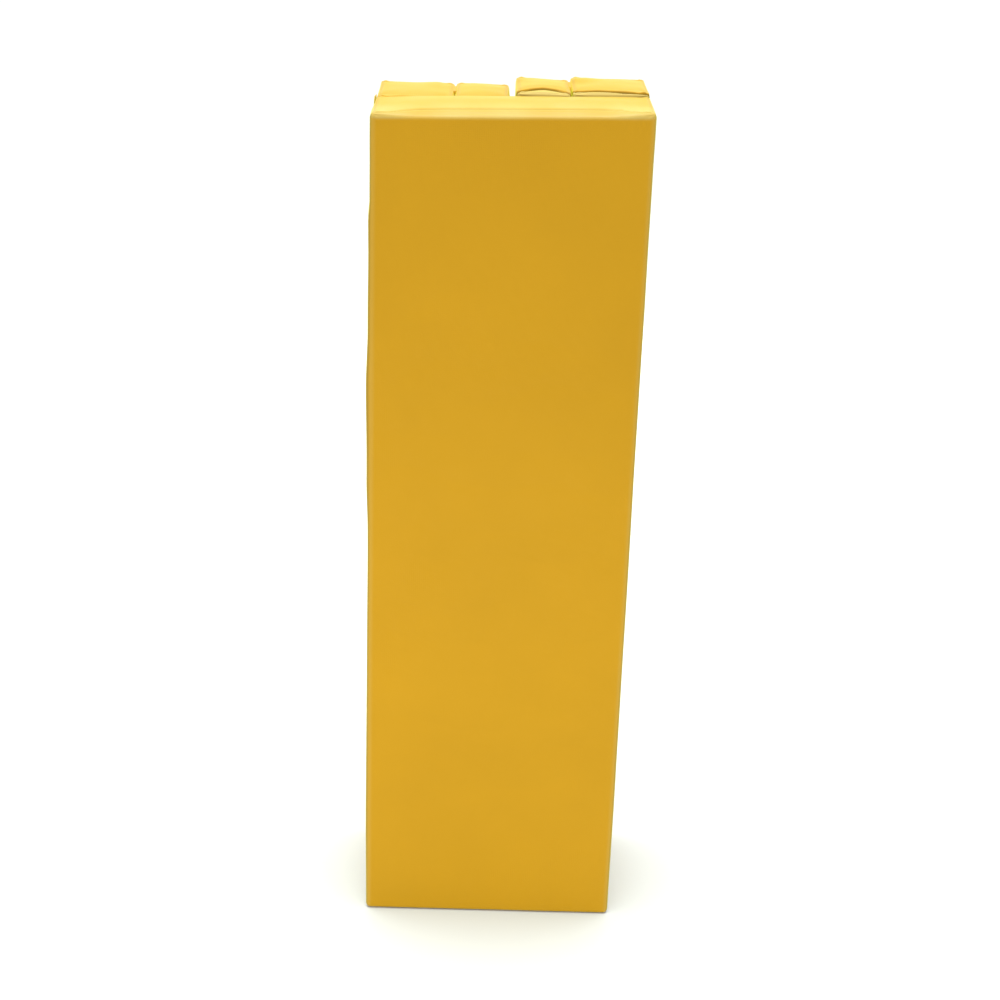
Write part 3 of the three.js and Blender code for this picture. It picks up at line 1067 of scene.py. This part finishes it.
def add_fitting(name, body, frame, parts, material, nodes=(), smooth=True):
    """Joins the parts into one piece, in place, with its faces turned outward."""
    points, faces = merge(parts)
    turned = points @ np.array(frame.to_3x3()).T + np.array(frame.translation)
    piece = add_piece(name, turned, faces, material, smooth)
    mesh = bmesh.new()
    mesh.from_mesh(piece.data)
    bmesh.ops.recalc_face_normals(mesh, faces=mesh.faces)
    mesh.to_mesh(piece.data)
    mesh.free()
    if nodes:
        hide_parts(*nodes)
    if body:
        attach(piece, body)
    return piece


# ---- Zips ----

TOOTH_PITCH = 3.2 * MM
TOOTH_LENGTH = 1.45 * MM
TOOTH_REACH = (-0.55 * MM, 2.4 * MM)  # across, from past the middle to its outer end
TOOTH_LEVELS = ((0.0, 0.0), (0.65 * MM, 0.0), (0.92 * MM, 0.25 * MM))
CHAIN_ROOM = 12 * MM  # of the chain's length that has no teeth
FIRST_TOOTH = 7 * MM  # above the chain's lower end
TAPE_WIDTH = 5.6 * MM
TAPE_MIDDLE = 2.9 * MM
TAPE_SHORTER = 4 * MM  # than the chain
TAPE_LEVELS = ((-0.3 * MM, 0), (0.2 * MM, 0), (0.3 * MM, 0.2 * MM))
FACING_LONGER = 8 * MM  # than the chain
FACING_WIDTH = 20 * MM
FACING_BAND = 5 * MM
FACING_THICKNESS = 0.7 * MM


def tooth(side, up):
    width = TOOTH_REACH[1] - TOOTH_REACH[0]
    middle = side * (TOOTH_REACH[0] + TOOTH_REACH[1]) / 2
    rings = []
    for out, inset in TOOTH_LEVELS:
        x, y = width / 2 - inset, TOOTH_LENGTH / 2 - inset
        corners = ((x, y), (-x, y), (-x, -y), (x, -y))
        rings.append([(out, middle + a, up + b) for a, b in corners])
    return loft(rings)


def add_zip(panel, facing):
    """A moulded zip between two folded fabric edges, with its slider and pull."""
    body = body_of_panel(panel)
    chain = f"{panel}_zip_chain"
    frame = wall_frame(panel, chain, facing)
    length = box_size(chain)[2]

    tapes = []
    for side in (-1, 1):
        middle = (side * TAPE_MIDDLE, 0)
        tapes.append(stacked(TAPE_WIDTH, length - TAPE_SHORTER, 0.5 * MM, TAPE_LEVELS, middle))
    add_fitting(f"{panel}_zip_tapes", body, frame, tapes, ZIP_TAPE, [chain])

    teeth = []
    for number in range(int((length - CHAIN_ROOM) / TOOTH_PITCH)):
        up = -length / 2 + FIRST_TOOTH + number * TOOTH_PITCH
        teeth += [tooth(1, up), tooth(-1, up + TOOTH_PITCH / 2)]
    add_fitting(f"{panel}_zip_teeth", body, frame, teeth, TEETH, smooth=False)

    facing_length = length + FACING_LONGER
    band = frame_round(FACING_WIDTH, facing_length, 3 * MM, FACING_BAND, FACING_THICKNESS)
    add_fitting(f"{panel}_zip_facing", body, frame, [band], COATED)
    row = rectangle_path(FACING_WIDTH - FACING_BAND, facing_length - FACING_BAND)
    sewn = stitches(row, FACING_THICKNESS)
    add_fitting(f"{panel}_zip_stitching", body, frame, sewn, THREAD)
    add_slider(panel, facing)
    add_pull(panel, facing)


SLIDER_LENGTH = 13 * MM
SLIDER_WIDTHS = (6.4 * MM, 8.8 * MM)  # at its lower and its upper end
SLIDER_LEVELS = ((1.0, 0.0), (1.9, 0.0), (2.25, 0.25), (2.4, 0.9))  # mm out, mm inset
RAIL_SIZE = (1.0 * MM, 6.2 * MM)
RAIL_LEVELS = ((0.4 * MM, 0.15 * MM), (0.6 * MM, 0), (1.3 * MM, 0))
RAIL_PLACES = ((2.9 * MM, -3.2 * MM), (3.7 * MM, 3.0 * MM))  # (across, up) of their middles
BAIL_HALF = 3.95 * MM
BAIL_FOOT = 2.1 * MM
BAIL_TOP = 4.8 * MM
BAIL_WIDTH = 2.5 * MM
BAIL_THICKNESS = 1.0 * MM


def slider_outline(inset):
    """(across, up) round the slider, which widens towards its upper end."""
    outline = rounded_outline(2, 2, 0.45)
    half = SLIDER_LENGTH / 2 - inset
    lower, upper = (width / 2 - inset for width in SLIDER_WIDTHS)
    share = smoothstep(outline[:, 1], -0.9, 0.7)
    widths = lower + (upper - lower) * share
    return np.column_stack([outline[:, 0] * widths, outline[:, 1] * half])


def swept_band(path, width, thickness):
    """A band whose middle line follows (out, up) points; its width lies across."""
    path = np.array(path)
    ahead = np.gradient(path, axis=0)
    ahead /= np.linalg.norm(ahead, axis=1, keepdims=True)
    outline = rounded_outline(width, thickness, min(thickness, width) * 0.42, 3)
    rings = []
    for (out, up), (d_out, d_up) in zip(path, ahead):
        rings.append([(out + d_up * b, a, up - d_out * b) for a, b in outline])
    return loft(rings)


def add_slider(panel, facing):
    """A cast slider with a rail down each side and a bail for the pull."""
    node = f"{panel}_zip_slider"
    frame = wall_frame(panel, node, facing)
    parts = [loft([ring_at(out * MM, slider_outline(inset * MM)) for out, inset in SLIDER_LEVELS])]
    for side in (-1, 1):
        for across, up in RAIL_PLACES:
            parts.append(stacked(*RAIL_SIZE, 0.4 * MM, RAIL_LEVELS, (side * across, up)))
    arch = []
    for angle in np.linspace(0.0, math.pi, 25):
        out = BAIL_FOOT + (BAIL_TOP - BAIL_FOOT) * math.sin(angle) ** 0.35
        arch.append((out, -BAIL_HALF * math.cos(angle)))
    parts.append(swept_band(arch, BAIL_WIDTH, BAIL_THICKNESS))
    add_fitting(f"{panel}_slider_shell", f"{node}_body", frame, parts, METAL, [node])


PULL_OUT = 2.8 * MM
PULL_WIDTH = 8 * MM
PULL_THICKNESS = 1.2 * MM
PULL_BEVEL = 0.28 * MM
PULL_WINDOW = (4.6 * MM, 6 * MM)
PULL_BAR = 1.2 * MM
RIB_SIZE = (5.4 * MM, 0.9 * MM)
RIB_PLACES = (-8.6 * MM, -6.6 * MM, -4.6 * MM)
RIB_RISE = 0.25 * MM


def pull_outline(width, length, grow):
    """(across, up) round the pull, which is widest at its rounded lower end."""
    outline = rounded_outline(2, 2, 0.5)
    up = outline[:, 1]
    share = 0.86 + 0.14 * smoothstep(-up, -0.2, 0.7)
    return np.column_stack([outline[:, 0] * (width * share / 2 + grow), up * (length / 2 + grow)])


def add_pull(panel, facing):
    """A cast tab with a window for the bail and three grip ribs on each face."""
    node = f"{panel}_zip_pull"
    frame = wall_frame(panel, node, facing)
    length = box_size(node)[2]
    window_up = length / 2 - PULL_BAR - PULL_WINDOW[1] / 2
    section = (
        (PULL_BEVEL, 0.0),
        (0.0, PULL_BEVEL),
        (0.0, PULL_THICKNESS - PULL_BEVEL),
        (PULL_BEVEL, PULL_THICKNESS),
    )
    outer = []
    inner = []
    for inset, out in section:
        outer.append(ring_at(PULL_OUT + out, pull_outline(PULL_WIDTH, length, -inset)))
        size = [side + 2 * inset for side in PULL_WINDOW]
        inner.append(ring_at(PULL_OUT + out, rounded_outline(*size, 1.2 * MM) + (0, window_up)))
    rings = np.concatenate([outer, inner[::-1]])
    parts = [loft(np.transpose(rings, (1, 0, 2)), wrap=True)]
    far = PULL_OUT + PULL_THICKNESS
    bevel = 0.15 * MM
    levels = ((PULL_OUT - RIB_RISE, bevel), (PULL_OUT, 0), (far, 0), (far + RIB_RISE, bevel))
    for up in RIB_PLACES:
        parts.append(stacked(*RIB_SIZE, 0.4 * MM, levels, (0, up)))
    add_fitting(f"{panel}_pull_tab", f"{node}_body", frame, parts, METAL, [node])


# ---- Eyelets ----

EYELET_STEPS = 48
EYELET_SECTION = (  # mm from the axis, mm out
    (4.2, -0.6),
    (4.2, 0.8),
    (4.5, 1.25),
    (5.2, 1.5),
    (6.2, 1.45),
    (7.6, 1.1),
    (8.6, 0.6),
    (9.0, 0.15),
    (8.9, -0.2),
    (6.0, -0.6),
)
SCREEN_LEVELS = ((4.3, -0.4), (4.3, 0.15), (3.2, 0.25), (1.6, 0.3), (0.5, 0.32))


def circle_rings(section):
    """A ring for each (radius, out) of a section, both in mm."""
    angles = np.arange(EYELET_STEPS) * 2 * math.pi / EYELET_STEPS
    circle = np.column_stack([np.cos(angles), np.sin(angles)])
    return [ring_at(out * MM, circle * (radius * MM)) for radius, out in section]


def add_eyelet(panel, facing):
    """A rolled metal vent eyelet with a dark screen behind its hole."""
    node = f"{panel}_eyelet"
    frame = wall_frame(panel, node, facing)
    body = body_of_panel(panel)
    ring = loft(np.transpose(circle_rings(EYELET_SECTION), (1, 0, 2)), wrap=True)
    add_fitting(f"{panel}_eyelet_ring", body, frame, [ring], METAL, [node])
    screen = loft(circle_rings(SCREEN_LEVELS))
    add_fitting(f"{panel}_eyelet_screen", body, frame, [screen], SCREEN)


# ---- Handles ----

STRAP_WIDTH = 25 * MM
STRAP_THICKNESS = 2.4 * MM
STRAP_LOW = 2.0 * MM  # from the wall to the strap's inner face at its feet
STRAP_HIGH = 13.6 * MM
STRAP_HALF = 156 * MM
STRAP_FOOT = 36 * MM
STRAP_RISE = 58 * MM
STRAP_STATIONS = 90
PATCH_SIZE = (31 * MM, 44 * MM)
PATCH_THICKNESS = 1.4 * MM
PATCH_ROW = (28.4 * MM, 40.8 * MM)  # the rectangle of stitches round a patch
FOOT_BOX = (19 * MM, 26 * MM)  # the box of stitches on a strap's foot


def strap_path():
    """(out, up) of the strap's middle line, from its lower end to its upper end."""
    ups = np.linspace(-STRAP_HALF, STRAP_HALF, STRAP_STATIONS)
    rise = smoothstep(STRAP_HALF - STRAP_FOOT - np.abs(ups), 0, STRAP_RISE)
    outs = STRAP_LOW + STRAP_THICKNESS / 2 + (STRAP_HIGH - STRAP_LOW) * rise
    return np.column_stack([outs, ups])


def add_handle(side):
    """A webbing handle sewn to two patches, each with a box and cross of stitches."""
    panel = f"{side}_inner"
    body = body_of_panel(panel)
    node = f"{side}_handle"
    frame = wall_frame(panel, node, "back")
    strap = swept_band(strap_path(), STRAP_WIDTH, STRAP_THICKNESS)
    add_fitting(f"{side}_handle_strap", body, frame, [strap], WEBBING, [node])

    patches = []
    borders = []
    crosses = []
    surface = STRAP_LOW + STRAP_THICKNESS
    nodes = [f"{side}_handle_upper_patch", f"{side}_handle_lower_patch"]
    for patch in nodes:
        low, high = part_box(patch)
        up = (low[2] + high[2]) / 2 - frame.translation.z
        plate = soft_plate(*PATCH_SIZE, 4 * MM, PATCH_THICKNESS, 0.2 * MM)
        patches += raised([plate], up)
        row = rectangle_path(*PATCH_ROW)
        borders += raised(stitches(row, PATCH_THICKNESS + 0.1 * MM), up)
        box = rectangle_path(*FOOT_BOX)
        for path in (box, (box[0], box[2]), (box[3], box[1])):
            crosses += raised(stitches(path, surface), up)
    add_fitting(f"{side}_handle_patches", body, frame, patches, COATED, nodes)
    add_fitting(f"{side}_patch_stitching", body, frame, borders, THREAD)
    add_fitting(f"{side}_strap_stitching", body, frame, crosses, THREAD)


# ---- Hook-and-loop strips ----

STRIP_THICKNESS = 1.1 * MM
STRIP_STITCH_GAP = 2.6 * MM


def add_strip(side, kind, panel, facing):
    """A hook or loop tape with a row of stitches round it."""
    node = f"{side}_{kind}_strip"
    frame = wall_frame(panel, node, facing)
    width, _, length = box_size(node)
    body = body_of_panel(panel)
    plate = soft_plate(width, length, 4 * MM, STRIP_THICKNESS, 0.1 * MM)
    add_fitting(f"{side}_{kind}_tape", body, frame, [plate], NAP, [node])
    row = rectangle_path(width - 5 * MM, length - 5 * MM)
    sewn = stitches(row, STRIP_THICKNESS + 0.1 * MM, STRIP_STITCH_GAP)
    add_fitting(f"{side}_{kind}_stitching", body, frame, sewn, THREAD)


# ---- Webs across the folds ----

WEB_THICKNESS = 1.2 * MM
WEB_HALF = 17 * MM
WEB_FLANGE = 3.5 * MM
WEB_BOW = 3.0 * MM
WEB_WAVE = 0.9 * MM
WEB_WAVE_LENGTH = 0.09
WEB_ROW = 4 * MM
WEB_COLUMNS = 22
WEB_SEAM = 14.5 * MM
WEB_SEAM_ROOM = 5 * MM  # from the ends of a seam to the ends of the web


def web_profile(bow):
    """(out, across) round a web's closed cross-section."""
    across = np.linspace(-WEB_HALF, WEB_HALF, WEB_COLUMNS)
    reach = WEB_HALF - WEB_FLANGE
    rise = bow * np.cos(np.clip(across / reach, -1, 1) * math.pi / 2) ** 2
    crease = 0.35 * MM * np.exp(-(((np.abs(across) - WEB_SEAM) / (1.2 * MM)) ** 2))
    inner = np.column_stack([0.3 * MM + rise, across])
    outer = np.column_stack([0.3 * MM + WEB_THICKNESS + rise - crease, across])
    outer[[0, -1], 0] -= 0.4 * MM
    return np.concatenate([inner, outer[::-1]])


def add_hinge_web(side, facing):
    """The cloth hinge between the main panel and a flap, sewn down along both edges."""
    node = f"{side}_hinge_web"
    frame = wall_frame("main", node, facing)
    half = box_size(node)[2] / 2
    rings = []
    for up in np.arange(-half, half + WEB_ROW / 2, WEB_ROW):
        place = Vector((0, 3 if side == "left" else 7, up / WEB_WAVE_LENGTH))
        bow = WEB_BOW + WEB_WAVE * noise.noise(place)
        bow *= smoothstep(half - abs(up), -40 * MM, 60 * MM)
        rings.append([(out, across, up) for out, across in web_profile(bow)])
    name = f"{side}_hinge_cloth"
    cloth = add_fitting(name, None, frame, [loft(rings)], COATED, [node])
    block = f"{side}_outer_block"
    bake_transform(cloth)
    seam = WEB_SEAM if side == "right" else -WEB_SEAM
    for name, body, across in (("front", "main_panel", -seam), ("back", block, seam)):
        row = [(across, WEB_SEAM_ROOM - half), (across, half - WEB_SEAM_ROOM)]
        sewn = stitches(row, WEB_THICKNESS, STRIP_STITCH_GAP)
        add_fitting(f"{side}_hinge_stitching_{name}", body, frame, sewn, THREAD)


def bend_across_channel(cloth):
    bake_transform(cloth)


CHANNEL_STATIONS = 120
CHANNEL_DRIFT = 0.6 * MM
CHANNEL_DRIFT_LENGTH = 0.06


def add_channel_web(side):
    """The cloth that joins a flap's two blocks, at half the channel's depth."""
    node = f"{side}_channel_web"
    low, high = box_corners(node)
    middle = (low + high) / 2
    frame = Matrix.Translation(middle)
    width, half = high[0] - low[0], (high[2] - low[2]) / 2
    outline = rounded_outline(width, WEB_THICKNESS, 0.4 * MM, 2)
    rings = []
    for up in np.linspace(-half, half, CHANNEL_STATIONS):
        drift = CHANNEL_DRIFT * noise.noise(Vector((up / CHANNEL_DRIFT_LENGTH, 5, 0)))
        sag = drift * np.cos(outline[:, 0] / width * math.pi)
        heights = np.full(len(outline), up)
        rings.append(np.column_stack([outline[:, 0], outline[:, 1] + sag, heights]))
    name = f"{side}_channel_cloth"
    cloth = add_fitting(name, None, frame, [loft(rings)], COATED, [node])
    bend_across_channel(cloth)


BRIDGE_DEPTHS = (46 * MM, 101 * MM)  # the bridge covers this stretch of the channel's top
BRIDGE_HALF = 6.5 * MM
BRIDGE_DIP = 2.4 * MM
BRIDGE_TUCK = 3.0 * MM  # how far its long edges turn down into the blocks
BRIDGE_THICKNESS = 1.2 * MM
BRIDGE_COLUMNS = 15
BRIDGE_STATIONS = 24
BRIDGE_END_DROP = 4 * MM
BRIDGE_END = 9 * MM


def add_channel_bridge(side, tops):
    """The fold of cover that closes the channel's top, between the blocks' rear halves."""
    low, high = box_corners(f"{side}_channel_web")
    middle_x = (low[0] + high[0]) / 2
    across = np.linspace(-BRIDGE_HALF, BRIDGE_HALF, BRIDGE_COLUMNS)
    dip = BRIDGE_DIP * np.cos(across / BRIDGE_HALF * math.pi / 2) ** 2
    dip += BRIDGE_TUCK * smoothstep(np.abs(across), 0.55 * BRIDGE_HALF, BRIDGE_HALF)
    slope = tops[0] + (tops[1] - tops[0]) * smoothstep(across, -BRIDGE_HALF, BRIDGE_HALF)
    rings = []
    for y in np.linspace(*BRIDGE_DEPTHS, BRIDGE_STATIONS):
        inside = smoothstep(min(y - BRIDGE_DEPTHS[0], BRIDGE_DEPTHS[1] - y), 0, BRIDGE_END)
        height = CAD_TOP + slope - dip - (1 - inside) * BRIDGE_END_DROP
        upper = np.column_stack([middle_x + across, np.full(BRIDGE_COLUMNS, y), height])
        rings.append(np.concatenate([upper, (upper - (0, 0, BRIDGE_THICKNESS))[::-1]]))
    name = f"{side}_channel_bridge"
    cloth = add_fitting(name, None, Matrix.Identity(4), [loft(rings)], COATED)
    bend_across_channel(cloth)


# ---- Foam cores ----

FOAM_TOP_ROOM = 9 * MM  # below its CAD top, because the left blocks' covers stand lower
FOAM_RADIUS = 4 * MM


def add_foam(panel):
    """The cut foam block inside a cover, with softly rounded edges."""
    node = f"{panel}_foam_core"
    low, high = box_corners(node)
    high[2] -= FOAM_TOP_ROOM
    size = high - low
    lines = [edge_lines(s, 1.5 * MM, 1.6, 25 * MM) for s in size]
    points, _, quads = shell_grid(lines)
    rounded, _ = round_box(points, size, np.full(3, FOAM_RADIUS))
    piece = add_piece(f"{panel}_foam_block", rounded + low, quads, FOAM)
    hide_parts(node)
    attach(piece, body_of_panel(panel))


def add_fittings():
    for panel in PANELS:
        add_zip(panel, "right" if panel == "main" else "back")
        add_eyelet(panel, "left" if panel == "main" else "back")
        add_foam(panel)
    for side in ("left", "right"):
        add_handle(side)
        add_strip(side, "hook", "main", "back")
        add_strip(side, "loop", f"{side}_inner", "front")
        add_hinge_web(side, side)
        add_channel_web(side)
    add_channel_bridge("left", (-6.3 * MM, -5.0 * MM))
    add_channel_bridge("right", (4.0 * MM, 5.5 * MM))


add_fittings()
